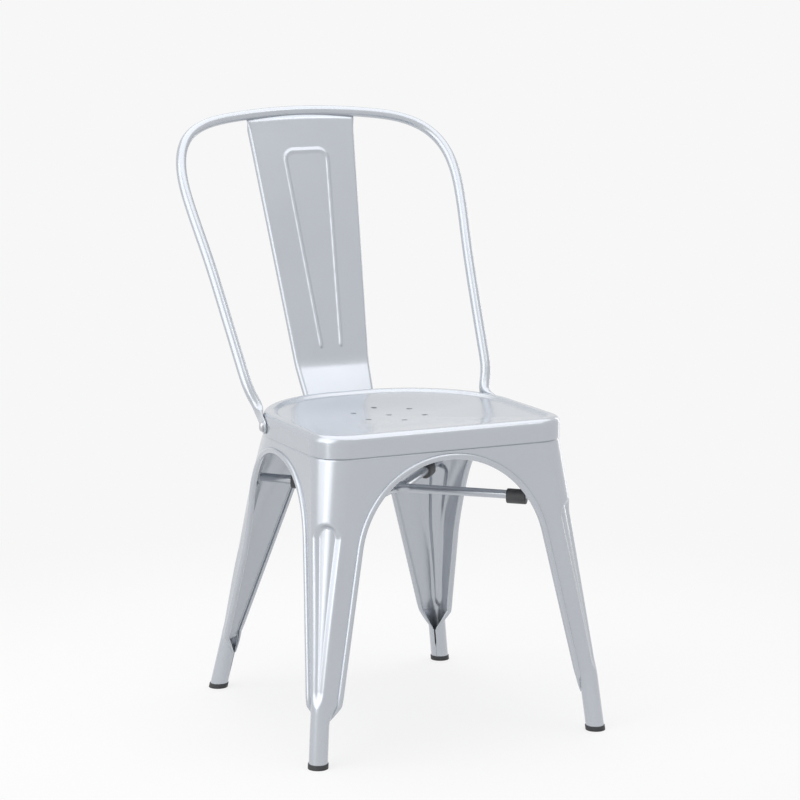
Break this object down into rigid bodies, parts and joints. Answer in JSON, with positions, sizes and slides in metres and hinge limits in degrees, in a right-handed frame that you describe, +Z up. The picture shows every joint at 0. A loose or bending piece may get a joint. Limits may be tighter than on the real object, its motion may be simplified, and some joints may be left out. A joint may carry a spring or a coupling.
{
  "type": "stacking chair",
  "caption": "Stacking chair of pressed painted sheet steel: dished seat pan, splayed fluted legs joined by arched aprons, tube hoop back with a tapered splat, cross brace and floor caps.",
  "frame": {"origin": "middle of the bounding box on the floor, under the chair", "axes": "+Z up, the sitter faces -Y, +X is to the right seen from the front"},
  "size_m": [0.456, 0.5664, 0.8495],
  "materials": {
    "paint": "semi-gloss",
    "foot": "matt",
    "sleeve": "matt",
    "fastener": "satin"
  },
  "bodies": {
    "root": {"back_hoop": "paint", "back_splat": "paint", "brace_front": "paint", "brace_rear": "paint", "foot_front_left": "foot", "foot_front_right": "foot", "foot_rear_left": "foot", "foot_rear_right": "foot", "hoop_bolt_left": "fastener", "hoop_bolt_right": "fastener", "hoop_nut_left": "fastener", "hoop_nut_right": "fastener", "hoop_washer_left": "fastener", "hoop_washer_right": "fastener", "leg_front_left": "paint", "leg_front_right": "paint", "leg_rear_left": "paint", "leg_rear_right": "paint", "seat_pan": "paint", "sleeve_front_left": "sleeve", "sleeve_front_right": "sleeve", "sleeve_rear_left": "sleeve", "sleeve_rear_right": "sleeve", "splat_bolt_left": "fastener", "splat_bolt_right": "fastener", "splat_nut_left": "fastener", "splat_nut_right": "fastener", "splat_washer_left": "fastener", "splat_washer_right": "fastener"}
  },
  "joints": []
}
